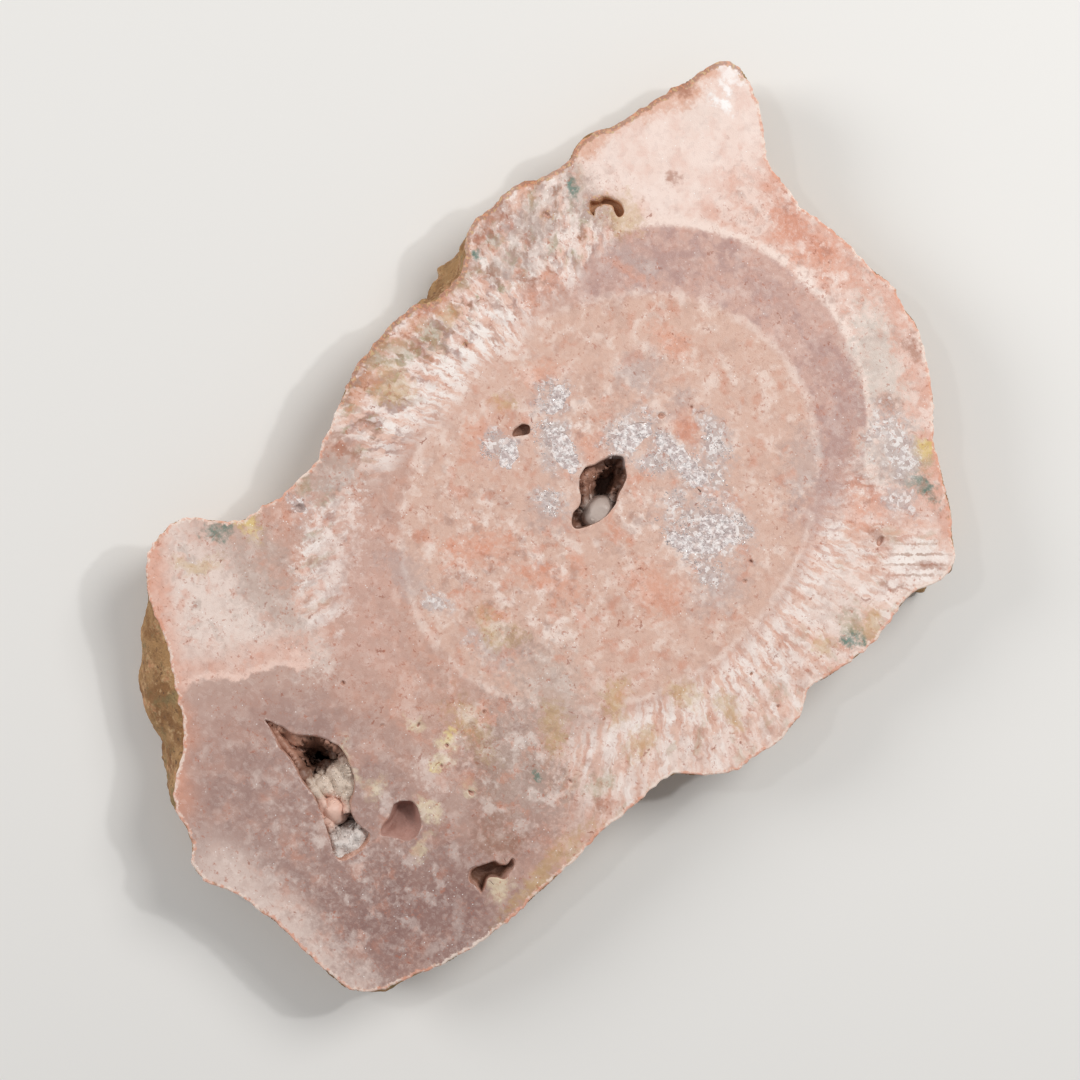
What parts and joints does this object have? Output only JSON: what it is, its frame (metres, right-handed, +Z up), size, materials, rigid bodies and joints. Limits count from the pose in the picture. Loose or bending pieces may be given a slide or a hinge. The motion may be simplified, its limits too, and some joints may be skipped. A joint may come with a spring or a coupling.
{
  "type": "pink amethyst slice",
  "caption": "Sawn slice of banded pink amethyst with a rough natural rind and crystal-lined hollows, lying flat on its sawn back face.",
  "frame": {"origin": "middle of the sawn back face that it lies on, at the bottom", "axes": "+Z up out of the sawn front face, +Y along the length towards the pointed corner, +X across the width"},
  "size_m": [0.1472, 0.239, 0.02],
  "materials": {
    "banded_stone": "sawn and lapped to a soft shine on both faces, banded salmon, peach, mauve and white; the rind round the edge is rough, matt and brown",
    "hollow_druse": "fine quartz crystals in deep hollows, grey-brown, each face glassy",
    "white_druse": "clear to white quartz crystals, each face glassy"
  },
  "bodies": {
    "root": {"slice": "banded_stone", "lower_hollow_crust": "hollow_druse", "middle_hollow_crust": "hollow_druse", "right_druse_crust": "white_druse", "upper_druse_crust": "white_druse", "upper_left_druse_crust": "white_druse", "left_druse_crust": "white_druse", "outer_druse_crust": "white_druse", "lower_left_druse_crust": "white_druse"}
  },
  "joints": []
}
